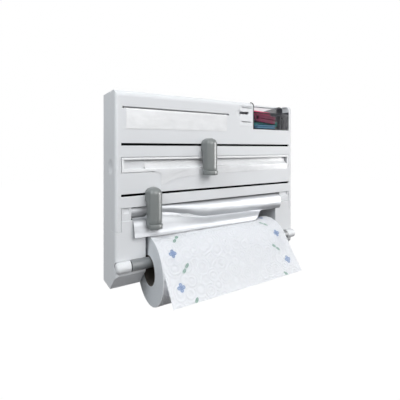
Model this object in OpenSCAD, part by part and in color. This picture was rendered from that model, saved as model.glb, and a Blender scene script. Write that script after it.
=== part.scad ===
// Wall-mounted kitchen roll holder with two sheet dispensers, a bag slot and a clip tray.
// Frame: +X right, +Y into the wall, +Z up; the origin is the middle of the four wall screws.

/* [Housing] */
// Width over the side walls
body_w = 360; // [340:1:440]
// Height of the top above the origin
body_top = 130; // [118:1:160]
// Drop of the bottom below the origin
body_bottom = 164; // [160:1:200]
// Depth from the wall to the front face
body_d = 64; // [60:1:84]
// Depth of the rear housing
rear_d = 40; // [36:1:44]
// Thickness of the moulded walls
wall = 3; // [2.4:0.1:3.6]
// Radius of the upright front edges
edge_r = 5; // [4:0.5:8]
// Radius of the top front edge
top_r = 10; // [6:0.5:14]
// Size of the chamfer along the bottom front edge
chamfer = 26; // [18:1:30]
// Width of each cheek beside the roll bay
cheek_w = 46; // [44:1:54]
// Drop of the roll bay's ceiling below the origin
bay_drop = 71.5; // [71:0.5:74]

/* [Front cover] */
// Width of the cover's ears beside the lower window
ear_w = 9; // [8:0.5:12]
// Drop of the ears below the origin
ear_drop = 75; // [68:1:80]
// Drop of the cover panel's lower edge
panel_drop = 41; // [38:1:44]
// Drop of the lower front's upper edge
apron_drop = 60; // [57:1:62]
// Gap between the cover and the rest of the housing
seam_gap = 0.3; // [0.2:0.05:0.6]
// Distance of the hinge axis from the cover's top and rear faces
hinge_r = 6; // [5:0.5:8]
// Diameter of the hinge pins
pin_d = 4; // [3:0.5:5]
// Diameter of the round thumb recesses in the sides
thumb_d = 26; // [20:1:30]
// Depth of the thumb recesses
thumb_depth = 2.4; // [0.8:0.1:2.5]

/* [Cutters] */
// Height of the upper cutter slot
upper_slot_z = 51; // [48:1:54]
// Height of the lower cutter slot
lower_slot_z = -23; // [-25:1:-20]
// Width of the cutter slots
slot_h = 3.6; // [3:0.1:4.4]
// Width of a cutter knob
knob_w = 20; // [16:1:24]
// Thickness of a cutter knob, front to back
knob_d = 18; // [16:1:22]
// Space behind a knob for the sheets
finger_gap = 6; // [5:0.5:8]
// Rise of a knob above its slot
knob_up = 11; // [10:0.5:14]
// Drop of a knob below its slot
knob_down = 49; // [46:1:50]
// Rest place of the upper cutter along the slot
upper_knob_x = -27.5; // [-150:0.5:150]
// Rest place of the lower cutter along the slot
lower_knob_x = -125.5; // [-150:0.5:150]

/* [Upper window] */
// Lower edge of the upper window
window_low = 9.5; // [8:0.5:11]
// Upper edge of the upper window
window_high = 32.5; // [30:0.5:35]
// Height of the tear bar along the window's lower edge
tear_bar_h = 5.5; // [4:0.5:7]
// Width of the window frame's upper edge and ends
frame_side = 4; // [3:0.5:5]
// Open joint round the window frame
frame_gap = 0.8; // [0.3:0.1:1.2]

/* [Sheet rolls] */
// Length of the film and foil rolls
sheet_roll_len = 300; // [290:1:305]
// Radius of the film roll
film_r = 17; // [15:0.5:18]
// Radius of the foil roll
foil_r = 15; // [13:0.5:16]
// Inner radius of the cardboard tubes of the film and foil
sheet_core_r = 9; // [8:0.5:11]
// Thickness of those cardboard tubes
sheet_core_t = 1.5; // [1:0.1:2]
// Width of the hanging film
film_w = 274; // [250:1:280]

/* [Bag slot] */
// Drop of the bag slot below the top
bag_slot_drop = 25.5; // [22:0.5:30]
// Width of the bag slot's opening
bag_slot_h = 2.6; // [2:0.1:3.2]
// Length of the bag slot
bag_slot_len = 190; // [180:1:196]
// Width of a bag
bag_w = 180; // [160:1:182]
// Length of bag that hangs out of the slot
bag_hang = 32.5; // [15:0.5:34]

/* [Clip tray] */
// Width of the clip tray
tray_w = 93.5; // [80:0.5:96]
// Height of the clip tray
tray_h = 48.5; // [42:0.5:52]
// Depth of the clip tray, front to back
tray_d = 18; // [16:0.5:20]
// Thickness of the tray's walls
tray_t = 1.5; // [1.2:0.1:2]
// Length of a bag clip
clip_len = 70; // [55:1:71]

/* [Spindle and kitchen roll] */
// Radius of the spindle
spindle_r = 8; // [7:0.5:9]
// Distance of the spindle's axis in front of the front face
spindle_out = 3; // [2:0.5:4]
// Drop of the spindle's axis below the origin
spindle_drop = 124.5; // [122:0.5:130]
// Length of each end cap
cap_len = 21; // [20:1:30]
// Rounding of the caps' outer ends
cap_round = 4.5; // [2:0.5:6]
// Radius of the steel rod through the spindle
rod_r = 3; // [2.5:0.5:4]
// Outer radius of the kitchen roll
roll_r = 51; // [40:0.5:51.5]
// Length of the kitchen roll
roll_len = 242; // [220:1:260]
// Inner radius of the kitchen roll's cardboard tube
roll_core_r = 20.5; // [18:0.5:24]
// Thickness of that cardboard tube
roll_core_t = 1.7; // [1:0.1:2.5]
// Free length of paper that hangs off the roll
paper_hang = 62; // [30:1:80]
// Angle above level at which the paper leaves the roll
paper_leaves_at = 32; // [20:1:45]
// Angle of loose paper that still lies on the roll
paper_wrap = 88; // [24:4:96]

/* [Fixings] */
// Spacing of the wall screws across
wall_screw_x = 200; // [160:1:240]
// Spacing of the wall screws up and down
wall_screw_z = 190; // [170:1:200]
// Diameter of the wall screw holes
wall_hole_d = 5.2; // [4:0.1:6]
// Diameter of the assembly screws
screw_d = 4; // [3:0.5:4.5]

/* [Hidden] */
$fn = 64;
far = 600;
eps = 0.5;
fit = 0.05;
soft_gap = 0.3;
slide_gap = 0.2;

half_w = body_w / 2;
front = -body_d;
inner_front = front + wall;
seam_y = -rear_d;
ear_in = half_w - ear_w;
bay_half = half_w - cheek_w;
bay_top = -bay_drop;
ceiling_top = bay_top + wall;
apron_top = -apron_drop;
panel_low = -panel_drop;
ear_low = -ear_drop;

hinge_y = seam_y - seam_gap - hinge_r;
hinge_z = body_top - hinge_r;
pin_r = pin_d / 2;
lug_in = half_w - wall - 4;
lug_out = half_w - wall - seam_gap;
lug_r = hinge_r - 0.4;
pin_end = half_w - 1;

rail_d = 10;
rail_half_h = 8.5;
rail_end = half_w - wall - 2;
rail_web = 1.5;
shoe_len = 24;
shoe_h = 11;
shoe_d = 6;
neck_len = 14;
neck_h = slot_h - 2 * slide_gap;
neck_in = inner_front + soft_gap + 4;
knob_back = front - finger_gap;
knob_front = knob_back - knob_d;
knob_head_gap = 0.4;
knob_dome_r = knob_up;
knob_edge_r = 4.5;
knob_lip = 2;
knob_lip_h = 7;
blade_t = 0.8;
blade_reach = finger_gap - 4.4;
cutter_screw_r = 1;

film_y = front + 7 + film_r;
film_z = window_low + 0.8 + film_r;
foil_y = front + 5 + foil_r;
foil_z = apron_top - 5 + foil_r;
film_x0 = -half_w + 46;
foil_x0 = -half_w + 25;
film_sheet_x1 = film_x0 + sheet_roll_len - 1;
trough_end = half_w - wall - 5;
trough_t = 2;
trough_rib_t = 2.5;
trough_ribs = 4;
sheet_t = 0.6;

bag_slot_z = body_top - bag_slot_drop;
bag_slot_x0 = -ear_in + 2;
bag_x0 = bag_slot_x0 + (bag_slot_len - bag_w) / 2;
pack_d = 8;
pack_y1 = inner_front + 3 + pack_d;
pocket_t = 1.5;
pocket_low = bag_slot_z - 20;
pocket_high = hinge_z - hinge_r - 3;

tray_gap = 0.3;
clip_gap = 0.4;
nest_t = 1.4;
tray_x1 = lug_in - seam_gap - nest_t - tray_gap;
tray_x0 = tray_x1 - tray_w;
tray_z0 = body_top - 0.5 - tray_h;
tray_y1 = front + tray_d;
tray_corner_r = 8;
tray_rim = tray_z0 + tray_h - 16;
tray_floor = tray_z0 + tray_t;
clip_h = clip_len / 10;
clip_d = (tray_d - 2 * tray_t - 4 * clip_gap) / 2;
wire_r = 0.9;
wire_bend = 6;

tie_x1 = tray_x0 - tray_gap - nest_t - 0.6;
tie_x0 = tie_x1 - 38;
tie_z0 = body_top - 48;
tie_z1 = body_top - 4;
tie_t = 2;
tie_border = 4;
tie_open_x0 = tie_x0 + tie_border + 4.5;
tie_face = front + 0.6;
tie_dish_r = 8;
tie_dish_depth = 1.8;

spindle_y = front - spindle_out;
spindle_z = -spindle_drop;
groove_r = spindle_r + soft_gap;
cap_in = half_w - cap_len;
tube_end = cap_in - 1.2;
tube_t = 1.5;
bush_len = 12;
rod_end = half_w - 8;
peg_r = 2.5;
peg_x = half_w - cap_len / 2;
peg_reach = 5;
roll_x0 = -bay_half + 4;
roll_y = spindle_y;
roll_z = spindle_z - roll_core_r + spindle_r + soft_gap;
paper_r = roll_r + soft_gap;
paper_t = 0.5;

boss_r = 5;
boss_x = half_w - cheek_w / 2;
boss_z = [bay_top - 20, -body_bottom + 18];
screw_r = screw_d / 2;
thread_r = screw_r - 0.3;
thread_len = 8;
head_r = screw_r + 2;
head_h = 2.4;
head_seat = 5;

// A block between two corners
module block(x, y, z) {
    translate([x[0], y[0], z[0]]) cube([x[1] - x[0], y[1] - y[0], z[1] - z[0]]);
}

// A round bar along X
module bar_x(r, x, y, z) {
    translate([x[0], y, z]) rotate([0, 90, 0]) cylinder(r = r, h = x[1] - x[0]);
}

// A round bar along Y
module bar_y(r, x, y, z) {
    translate([x, y[0], z]) rotate([-90, 0, 0]) cylinder(r = r, h = y[1] - y[0]);
}

// A side profile, drawn in Y and Z, carried along X
module along_x(x) {
    translate([x[0], 0, 0]) rotate([90, 0, 90]) linear_extrude(x[1] - x[0]) children();
}

// A front profile, drawn in X and Z, carried along Y
module along_y(y) {
    translate([0, y[1], 0]) rotate([90, 0, 0]) linear_extrude(y[1] - y[0]) children();
}

// A shape and its mirror image on the other side
module both_sides() {
    children();
    mirror([1, 0, 0]) children();
}

// A path's direction at one of its points
function heading(path, i) =
    let (last = len(path) - 1, step = path[min(i + 1, last)] - path[max(i - 1, 0)]) step / norm(step);

// The point beside a path's point, to the left of its direction
function beside(path, i, t) = path[i] + t * [-heading(path, i)[1], heading(path, i)[0]];

// A thin sheet that follows a path drawn in Y and Z
module sheet_along(path, t, x) {
    edge = [for (i = [len(path) - 1 : -1 : 0]) beside(path, i, t)];
    along_x(x) polygon(concat(path, edge));
}

// The housing's outline seen from above, set in from the outside
module plan_outline(inset) {
    hw = half_w - inset;
    fy = front + inset;
    r = max(edge_r - inset, eps);
    translate([-hw, fy + r]) square([2 * hw, -inset - fy - r]);
    translate([r - hw, fy]) square([2 * (hw - r), r + eps]);
    for (s = [-1, 1]) translate([s * (hw - r), fy + r]) circle(r);
}

// The housing's outline seen from the side, set in from the outside
module side_outline(inset) {
    fy = front + inset;
    top = body_top - inset;
    low = inset - body_bottom;
    r = max(top_r - inset, eps);
    slope = front + chamfer - body_bottom + inset * sqrt(2);
    polygon([
        [-inset, low], [slope - low, low], [fy, slope - fy], [fy, top - r], [fy + r, top], [-inset, top]
    ]);
    translate([fy + r, top - r]) circle(r);
}

// The housing's outer form, or its inside when set in by the wall
module housing_form(inset) {
    intersection() {
        translate([0, 0, -far / 2]) linear_extrude(far) plan_outline(inset);
        along_x([-half_w - 1, half_w + 1]) side_outline(inset);
    }
}

// All the housing's walls, before the seams divide them
module housing_walls() {
    difference() {
        housing_form(0);
        intersection() {
            housing_form(wall);
            union() {
                block([-far, far], [-far, far], [ceiling_top, far]);
                both_sides() block([bay_half + wall, far], [-far, far], [-far, ceiling_top + 1]);
            }
        }
        block([-bay_half, bay_half], [front - 1, -wall], [-far, bay_top]);
    }
}

// The round dish in each side wall, centred on the seam
module thumb_dishes() {
    dish_r = (pow(thumb_d / 2, 2) + pow(thumb_depth, 2)) / (2 * thumb_depth);
    dish_z = (window_low + window_high) / 2 - 3;
    both_sides() translate([half_w - thumb_depth + dish_r, seam_y, dish_z]) sphere(dish_r, $fn = 128);
}

module rear_housing() {
    color("#d2d5d8") difference() {
        union() {
            intersection() {
                housing_walls();
                block([-far, far], [seam_y, 1], [-far, far]);
            }
            both_sides() {
                bar_x(lug_r, [lug_in, lug_out], hinge_y, hinge_z);
                block([lug_in, lug_out], [hinge_y, seam_y / 2], [hinge_z - lug_r, body_top - wall + eps]);
                for (z = boss_z) bar_y(boss_r, boss_x, [seam_y, -wall + eps], z);
            }
        }
        both_sides() {
            bar_x(pin_r, [lug_in - 1, half_w - wall], hinge_y, hinge_z);
            for (z = boss_z) {
                bar_y(screw_r + fit, boss_x, [seam_y - 1, 1], z);
                bar_y(head_r + slide_gap, boss_x, [-head_seat, 1], z);
            }
            for (s = [-1, 1])
                bar_y(wall_hole_d / 2, wall_screw_x / 2, [-wall - 1, 1], s * wall_screw_z / 2);
        }
        thumb_dishes();
    }
}

module lower_front() {
    color("#d6d9dc") difference() {
        union() {
            intersection() {
                housing_walls();
                block([-far, far], [-far, seam_y], [-far, apron_top]);
                union() {
                    block([-ear_in + seam_gap, ear_in - seam_gap], [-far, 0], [-far, far]);
                    block([-far, far], [-far, 0], [-far, ear_low - seam_gap]);
                }
            }
            both_sides() intersection() {
                housing_form(0);
                union() {
                    bar_x(groove_r + wall, [bay_half, half_w], spindle_y, spindle_z);
                    bar_y(peg_r + wall, peg_x, [front, spindle_y + groove_r + peg_reach + 1], spindle_z);
                    for (z = boss_z) bar_y(boss_r, boss_x, [front, seam_y], z);
                }
            }
        }
        bar_x(groove_r, [-half_w - 1, half_w + 1], spindle_y, spindle_z);
        both_sides() {
            bar_y(peg_r + fit, peg_x, [front, spindle_y + groove_r + peg_reach], spindle_z);
            for (z = boss_z) bar_y(thread_r + fit, boss_x, [seam_y - thread_len - 1, seam_y + 1], z);
        }
    }
}

module assembly_screws() {
    color("#9a9c9e") both_sides() for (z = boss_z) {
        bar_y(head_r, boss_x, [-head_seat, -head_seat + head_h], z);
        bar_y(screw_r, boss_x, [seam_y, -head_seat], z);
        bar_y(thread_r, boss_x, [seam_y - thread_len, seam_y], z);
    }
}

module hinge_pins() {
    color("#b4b6b8") both_sides() bar_x(pin_r, [lug_in, pin_end], hinge_y, hinge_z);
}

// A trough under a roll: part of a tube on ribs that reach the back wall
module trough(y, z, roll_radius, play, front_cut, rib_low) {
    inner = roll_radius + play;
    centre_z = z + play - soft_gap;
    rib_step = (2 * trough_end - trough_rib_t) / (trough_ribs - 1);
    along_x([-trough_end, trough_end]) translate([y, centre_z]) difference() {
        circle(inner + trough_t);
        circle(inner);
        translate([-far, -far]) square([far - front_cut, 2 * far]);
        translate([-far, inner / 2]) square(2 * far);
    }
    for (i = [0 : trough_ribs - 1]) {
        x = -trough_end + i * rib_step;
        along_x([x, x + trough_rib_t]) difference() {
            translate([y, rib_low]) square([-wall - y, centre_z - rib_low]);
            translate([y, centre_z]) circle(inner + trough_t / 2);
        }
    }
}

// The block at one end of a trough, which closes the window beside the roll
module trough_end_block(x, low, high, near) {
    block(x, [near, near + 14], [low, high]);
}

module film_trough() {
    near = inner_front + 1.8;
    low = window_low - 1;
    high = window_high + 4;
    color("#dfe2e4") {
        trough(film_y, film_z, film_r, 5, 12, film_z - film_r - 5);
        trough_end_block([-trough_end, film_x0 - 1], low, high, near);
        trough_end_block([film_x0 + sheet_roll_len + 1, trough_end], low, high, near);
    }
}

// The plate that fills the lower window beside the foil, with a scoop along its top
module foil_end_plate(x) {
    face = front + 1;
    low = apron_top + soft_gap;
    high = panel_low - soft_gap;
    scoop_r = 9;
    scoop_depth = 2;
    difference() {
        block(x, [face, inner_front + 1], [low, high]);
        bar_x(scoop_r, [x[0] + 3, x[1] - 3], face + scoop_depth - scoop_r, high - 2.5);
    }
}

module foil_trough() {
    near = inner_front + 0.5;
    low = ceiling_top - eps;
    high = panel_low + 3;
    left = [-trough_end, foil_x0 - 1];
    right = [foil_x0 + sheet_roll_len + 1, trough_end];
    plate_end = ear_in - 2 * seam_gap;
    color("#c9ccce") {
        trough(foil_y, foil_z, foil_r, 2, 11, ceiling_top);
        trough_end_block(left, low, high, near);
        trough_end_block(right, low, high, near);
        foil_end_plate([-plate_end, left[1]]);
        foil_end_plate([right[0], plate_end]);
    }
}

module front_cover() {
    color("#dcdee0") {
        difference() {
            intersection() {
                housing_walls();
                along_x([-far, far]) cover_side();
                union() {
                    block([-far, far], [-far, 0], [panel_low, far]);
                    both_sides() block([ear_in, far], [-far, 0], [ear_low, far]);
                }
            }
            for (z = [upper_slot_z, lower_slot_z])
                block([-ear_in, ear_in], [front - 1, inner_front + 1], [z - slot_h / 2, z + slot_h / 2]);
            block([-ear_in, ear_in], [front - 1, inner_front + 1], [window_low, window_high]);
            block(
                [bag_slot_x0, bag_slot_x0 + bag_slot_len],
                [front - 1, inner_front + 1],
                [bag_slot_z - bag_slot_h / 2, bag_slot_z + bag_slot_h / 2]
            );
            block(
                [tray_x0 - tray_gap, tray_x1 + tray_gap],
                [front - 1, 0],
                [tray_z0, body_top + 1]
            );
            block(
                [tie_open_x0, tie_x1],
                [front - 1, inner_front + 1],
                [tie_z0 + tie_border, tie_z1 - tie_border]
            );
            tie_dish();
            block([tie_x0, tie_x1], [inner_front, front + top_r], [tie_z0, tie_z1]);
            both_sides() {
                block(
                    [lug_in - seam_gap, half_w - wall],
                    [hinge_y - hinge_r - 1, 0],
                    [hinge_z - hinge_r, far]
                );
                bar_x(pin_r + fit, [half_w - wall - 1, pin_end + slide_gap], hinge_y, hinge_z);
            }
            thumb_dishes();
        }
        tray_nest();
    }
}

// The cover's extent seen from the side, round about the hinge at its top rear edge
module cover_side() {
    translate([-far, ear_low]) square([far + hinge_y, far]);
    translate([hinge_y - eps, ear_low]) square([hinge_r + eps, hinge_z - ear_low]);
    translate([hinge_y, hinge_z]) circle(hinge_r);
}

// The walls inside the cover that hold the clip tray
module tray_nest() {
    back = tray_y1 + tray_gap;
    left = tray_x0 - tray_gap;
    right = tray_x1 + tray_gap;
    high = hinge_z + 1;
    block([left - nest_t, right + nest_t], [inner_front - eps, back + nest_t], [tray_z0 - nest_t, tray_z0]);
    block([left - nest_t, right + nest_t], [back, back + nest_t], [tray_z0 - eps, high]);
    block([left - nest_t, left], [inner_front - eps, back + eps], [tray_z0 - eps, high]);
    block([right, right + nest_t], [inner_front - eps, back + eps], [tray_z0 - eps, high]);
}

// The white frame in the upper window, with the tear bar along its lower edge
module window_frame() {
    rim = 2.2;
    stand = 0.3;
    color("#f2f3f4") difference() {
        union() {
            block(
                [-ear_in + frame_gap, ear_in - frame_gap],
                [front - stand, inner_front + 1],
                [window_low + frame_gap, window_high - frame_gap]
            );
            block(
                [-ear_in - rim, ear_in + rim],
                [inner_front, inner_front + 1.5],
                [window_low - rim, window_high + rim]
            );
        }
        block(
            [-ear_in + frame_side, ear_in - frame_side],
            [front - 1, inner_front + 2],
            [window_low + tear_bar_h, window_high - frame_side]
        );
    }
}

// The black channel behind a cutter slot
module rail(z) {
    color("#141516") difference() {
        block([-rail_end, rail_end], [inner_front, inner_front + rail_d], [z - rail_half_h, z + rail_half_h]);
        block(
            [-rail_end + rail_web, rail_end - rail_web],
            [inner_front - 1, inner_front + rail_d - rail_web],
            [z - shoe_h / 2 - slide_gap, z + shoe_h / 2 + slide_gap]
        );
    }
}

module upper_rail() {
    rail(upper_slot_z);
}

module lower_rail() {
    rail(lower_slot_z);
}

module bag_pocket() {
    x0 = bag_x0 - 2;
    x1 = bag_x0 + bag_w + 2;
    back = pack_y1 + soft_gap;
    color("#e4e6e8") {
        block([x0, x1], [inner_front, back + pocket_t], [pocket_low - pocket_t, pocket_low]);
        block([x0, x1], [back, back + pocket_t], [pocket_low - eps, pocket_high]);
        block([x0, x0 + pocket_t], [inner_front, back + eps], [pocket_low - eps, pocket_high]);
        block([x1 - pocket_t, x1], [inner_front, back + eps], [pocket_low - eps, pocket_high]);
    }
}

module bag_pack() {
    color("#eef1f2") block(
        [bag_x0, bag_x0 + bag_w],
        [pack_y1 - pack_d, pack_y1],
        [pocket_low, pocket_high - 1]
    );
}

module hanging_bag() {
    t = 0.8;
    z = bag_slot_z - bag_slot_h / 2 + soft_gap + t;
    path = [
        [pack_y1 - pack_d - soft_gap, z], [front, z], [front - 1.2, z - 1], [front - 1.8, z - 3.5],
        [front - 2, z - bag_hang / 2], [front - 1.6, bag_slot_z - bag_hang]
    ];
    color("#f4f6f7") sheet_along(path, t, [bag_x0, bag_x0 + bag_w]);
}

// The dish for a fingertip at the left end of the plate's middle slot
module tie_dish() {
    ball_r = (pow(tie_dish_r, 2) + pow(tie_dish_depth, 2)) / (2 * tie_dish_depth);
    translate([tie_open_x0 - 1, front + tie_dish_depth - ball_r, body_top - 21.5]) sphere(ball_r, $fn = 128);
}

// The plate with three slots beside the clip tray, let into the cover from behind
module tie_plate() {
    slots = [[-10.5, 1.2, 4.8, 28.3], [-20.5, 4.5, 0.8, 20.8], [-36.5, 1.5, 4.8, 26.3]];
    color("#f6f6f7") difference() {
        union() {
            block([tie_x0, tie_x1], [inner_front, inner_front + tie_t], [tie_z0, tie_z1]);
            block(
                [tie_open_x0 + slide_gap, tie_x1],
                [tie_face, inner_front + eps],
                [tie_z0 + tie_border + slide_gap, tie_z1 - tie_border - slide_gap]
            );
        }
        for (s = slots) {
            z = body_top + s[0];
            block(
                [tie_open_x0 + s[2], tie_open_x0 + s[3]],
                [front - 1, inner_front + tie_t + 1],
                [z - s[1] / 2, z + s[1] / 2]
            );
        }
        tie_dish();
    }
}

module film_sheet() {
    bar_top = window_low + tear_bar_h + soft_gap;
    hang_low = window_low - 22;
    film_sheet_x0 = film_sheet_x1 - film_w;
    path = [
        [film_y - film_r - 1, bar_top + 4], [inner_front, bar_top + 1], [front, bar_top],
        [front - 0.9, bar_top - 0.9], [front - 1.2, bar_top - 4], [front - 0.9, hang_low]
    ];
    color("#eef1f4") difference() {
        sheet_along(path, -sheet_t / 2, [film_sheet_x0, film_sheet_x1]);
        along_y([front - 5, front]) polygon([
            [film_sheet_x0 - 1, hang_low + 0.5], [film_sheet_x0 + 23, window_low - 12.5],
            [film_sheet_x0 + 45, window_low - 9], [film_sheet_x0 + 82, window_low - 8],
            [film_sheet_x1 + 1, window_low - 5], [film_sheet_x1 + 1, hang_low - 5],
            [film_sheet_x0 - 1, hang_low - 5]
        ]);
    }
}

// The foil's free end: close over the lip at the left, bulging out of the window at the right
module foil_sheet() {
    lip = apron_top + soft_gap + sheet_t;
    curl_z = bay_top - 1.5;
    out = front - 4;
    left_path = [
        [foil_y - foil_r - 1.8, foil_z], [inner_front - 0.2, lip + 5], [inner_front - 0.8, lip + 1.9],
        [front - 0.4, lip], [front - 2, lip - 2.5], [front - 3, lip - 8], [out, curl_z],
        [front - 8, curl_z - 6], [front - 13, curl_z - 10]
    ];
    right_path = [
        [foil_y - (foil_r + 1.8) * cos(30), foil_z + (foil_r + 1.8) * sin(30)],
        [inner_front - 1.3, panel_low - 2.6], [front - 1.6, panel_low - 5.2], [front - 3.4, panel_low - 9],
        [out, panel_low - 14], [out, apron_top - 3], [out + 0.2, curl_z + 1.5],
        [front - 8, curl_z - 4.5], [front - 13, curl_z - 7.5]
    ];
    x0 = foil_x0 + 1;
    x1 = foil_x0 + sheet_roll_len - 1;
    corner_x = x1 - 44;
    color("#c9ccd0") difference() {
        lofted_sheet(left_path, right_path, sheet_t, x0, x1);
        along_y([front - 20, front]) polygon([
            [corner_x, bay_top + 1.5], [x1 + 1, bay_top + 1.5], [x1 + 1, bay_top - 20],
            [corner_x - 36, bay_top - 20], [corner_x - 32, bay_top - 10.5]
        ]);
    }
}

// A thin sheet between two paths drawn in Y and Z, one at each end along X
module lofted_sheet(path0, path1, t, x0, x1) {
    n = len(path0);
    ring0 = concat(path0, [for (i = [n - 1 : -1 : 0]) beside(path0, i, t)]);
    ring1 = concat(path1, [for (i = [n - 1 : -1 : 0]) beside(path1, i, t)]);
    m = 2 * n;
    points = concat([for (p = ring0) [x0, p[0], p[1]]], [for (p = ring1) [x1, p[0], p[1]]]);
    side = [for (i = [0 : m - 1]) let (j = (i + 1) % m) each [[i, m + i, m + j], [i, m + j, j]]];
    ends = [for (i = [0 : n - 2]) let (a = m - 1 - i, b = m - 2 - i)
        each [[i, i + 1, a], [i + 1, b, a], [m + i, m + a, m + i + 1], [m + i + 1, m + a, m + b]]];
    polyhedron(points, concat(side, ends));
}

// The grip of a cutter: a domed, D-shaped knob with a neck that passes through the slot
module knob(x, z) {
    lip_front = knob_front - knob_lip;
    head_y = front - knob_head_gap;
    color("#858b89") difference() {
        union() {
            intersection() {
                translate([x, 0, -far / 2]) linear_extrude(far) knob_plan(lip_front);
                along_x([x - knob_w, x + knob_w]) translate([0, z]) knob_side(lip_front, head_y);
            }
            block(
                [x - neck_len / 2, x + neck_len / 2],
                [head_y - eps, neck_in],
                [z - neck_h / 2, z + neck_h / 2]
            );
        }
        bar_y(cutter_screw_r, x, [neck_in - 5, neck_in + 1], z);
    }
}

module knob_plan(lip_front) {
    hw = knob_w / 2;
    translate([-hw, lip_front + knob_edge_r]) square([knob_w, front - lip_front - knob_edge_r]);
    translate([knob_edge_r - hw, lip_front]) square([knob_w - 2 * knob_edge_r, knob_edge_r + eps]);
    for (s = [-1, 1]) translate([s * (hw - knob_edge_r), lip_front + knob_edge_r]) circle(knob_edge_r);
}

module knob_side(lip_front, head_y) {
    polygon([
        [head_y, knob_up / 2], [head_y, -slot_h - 5], [knob_back, -slot_h - 9], [knob_back, -knob_down],
        [lip_front, -knob_down], [lip_front, knob_lip_h - knob_down],
        [knob_front, knob_lip_h + knob_lip - knob_down], [knob_front, knob_up - knob_dome_r],
        [knob_front + knob_dome_r, knob_up]
    ]);
    translate([knob_front + knob_dome_r, knob_up - knob_dome_r]) circle(knob_dome_r);
}

// The slider behind the cover that carries a knob
module shoe(x, z) {
    y0 = inner_front + soft_gap;
    color("#202223") difference() {
        block([x - shoe_len / 2, x + shoe_len / 2], [y0, y0 + shoe_d], [z - shoe_h / 2, z + shoe_h / 2]);
        block(
            [x - neck_len / 2 - fit, x + neck_len / 2 + fit],
            [y0 - 1, neck_in],
            [z - neck_h / 2 - fit, z + neck_h / 2 + fit]
        );
        bar_y(cutter_screw_r + fit, x, [y0, y0 + shoe_d + 1], z);
    }
}

// The small triangular blade on the back of a knob
module blade(x, z) {
    low = z - knob_down + 8;
    color("#c4c8cc") translate([x - blade_t / 2, 0, 0]) along_x([0, blade_t]) polygon([
        [knob_back, low], [knob_back + blade_reach, low + 4], [knob_back, low + 18]
    ]);
}

// The screw that holds a knob to its slider
module cutter_screw(x, z) {
    seat = inner_front + soft_gap + shoe_d;
    color("#8e9092") {
        bar_y(cutter_screw_r, x, [neck_in - 4.5, seat], z);
        bar_y(2 * cutter_screw_r, x, [seat, seat + 1.2], z);
    }
}

module upper_knob() {
    knob(upper_knob_x, upper_slot_z);
}

module upper_shoe() {
    shoe(upper_knob_x, upper_slot_z);
}

module upper_blade() {
    blade(upper_knob_x, upper_slot_z);
}

module upper_screw() {
    cutter_screw(upper_knob_x, upper_slot_z);
}

module lower_knob() {
    knob(lower_knob_x, lower_slot_z);
}

module lower_shoe() {
    shoe(lower_knob_x, lower_slot_z);
}

module lower_blade() {
    blade(lower_knob_x, lower_slot_z);
}

module lower_screw() {
    cutter_screw(lower_knob_x, lower_slot_z);
}

// The back of the clip tray, which rises to its right end
module tray_back_outline() {
    r = tray_corner_r;
    top = tray_z0 + tray_h;
    polygon([
        [tray_x0, tray_z0], [tray_x1, tray_z0], [tray_x1, top - r], [tray_x1 - r, top],
        [tray_x1 - r - 3, top], [tray_x0 + 27, tray_rim], [tray_x0, tray_rim]
    ]);
    translate([tray_x1 - r, top - r]) circle(r);
}

module clip_tray() {
    color("#4b4a52", 0.7) {
        block([tray_x0, tray_x1], [front, front + tray_t], [tray_z0, tray_rim]);
        block([tray_x0, tray_x1], [front, tray_y1], [tray_z0, tray_z0 + tray_t]);
        along_y([tray_y1 - tray_t, tray_y1]) tray_back_outline();
        block([tray_x0, tray_x0 + tray_t], [front, tray_y1], [tray_z0, tray_rim]);
        block([tray_x1 - tray_t, tray_x1], [front, tray_y1], [tray_z0, tray_rim + 4]);
    }
}

// Depth range of a layer of clips: 0 in front, 1 behind
function clip_layer(layer) =
    let (y = front + tray_t + clip_gap + layer * (clip_d + 2 * clip_gap)) [y, y + clip_d];

// A bag clip: two long jaws joined by a round spring end, which lies at [x, z] from the tray's inner corner
module bag_clip(x, z, length, h, layer, tilt) {
    jaw = h / 2;
    place = [tray_x0 + tray_t + x, tray_floor + z];
    along_y(clip_layer(layer)) translate(place) rotate(tilt) difference() {
        union() {
            translate([0, -jaw]) square([length - jaw, h]);
            circle(jaw);
        }
        translate([jaw, -0.4]) square([length, 0.8]);
        circle(jaw / 2);
    }
}

module blue_clip() {
    color("#3f6f9c") bag_clip(9, 3.9, clip_len * 0.72, clip_h, 0, 0.5);
}

module teal_clip() {
    color("#3f7f7a") bag_clip(7, 7.4, clip_len * 0.97, 1.3 * clip_h, 1, 2.5);
}

module plum_clip() {
    color("#6e1f38") bag_clip(11, 21, clip_len * 0.76, 2 * clip_h, 0, -5);
}

module red_clip() {
    color("#b3304c") bag_clip(11, 31.5, clip_len * 0.62, clip_h, 1, -3);
}

// A dark clip that stands on its jaws at the right end of the tray
module black_clip() {
    x = tray_x1 - tray_t - 21;
    color("#1b1b1f") along_y(clip_layer(0)) translate([x, tray_floor]) difference() {
        union() {
            square([10, 22]);
            translate([5, 22]) circle(5);
        }
        translate([4, -1]) square([2, 20]);
        translate([5, 22]) circle(2.5);
    }
}

// A bent wire tie that stands in the tray and hooks over its left end
module wire_tie() {
    x = tray_x0 + tray_t + wire_r + 0.2;
    y = front + tray_t + wire_r + 0.3;
    z0 = tray_z0 + tray_t;
    z1 = body_top + 0.8 - wire_r - wire_bend;
    color("#2b2a2e") {
        translate([x, y, z0]) cylinder(r = wire_r, h = z1 - z0);
        translate([x - wire_bend, y, z1]) rotate([90, 0, 0])
            rotate_extrude(angle = 90) translate([wire_bend, 0]) circle(wire_r, $fn = 24);
        bar_x(wire_r, [x - wire_bend - 1.5, x - wire_bend], y, z1 + wire_bend);
    }
}

// A plain tube along X
module tube_x(outer, inner, x, y, z) {
    difference() {
        bar_x(outer, x, y, z);
        bar_x(inner, [x[0] - 1, x[1] + 1], y, z);
    }
}

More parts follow.
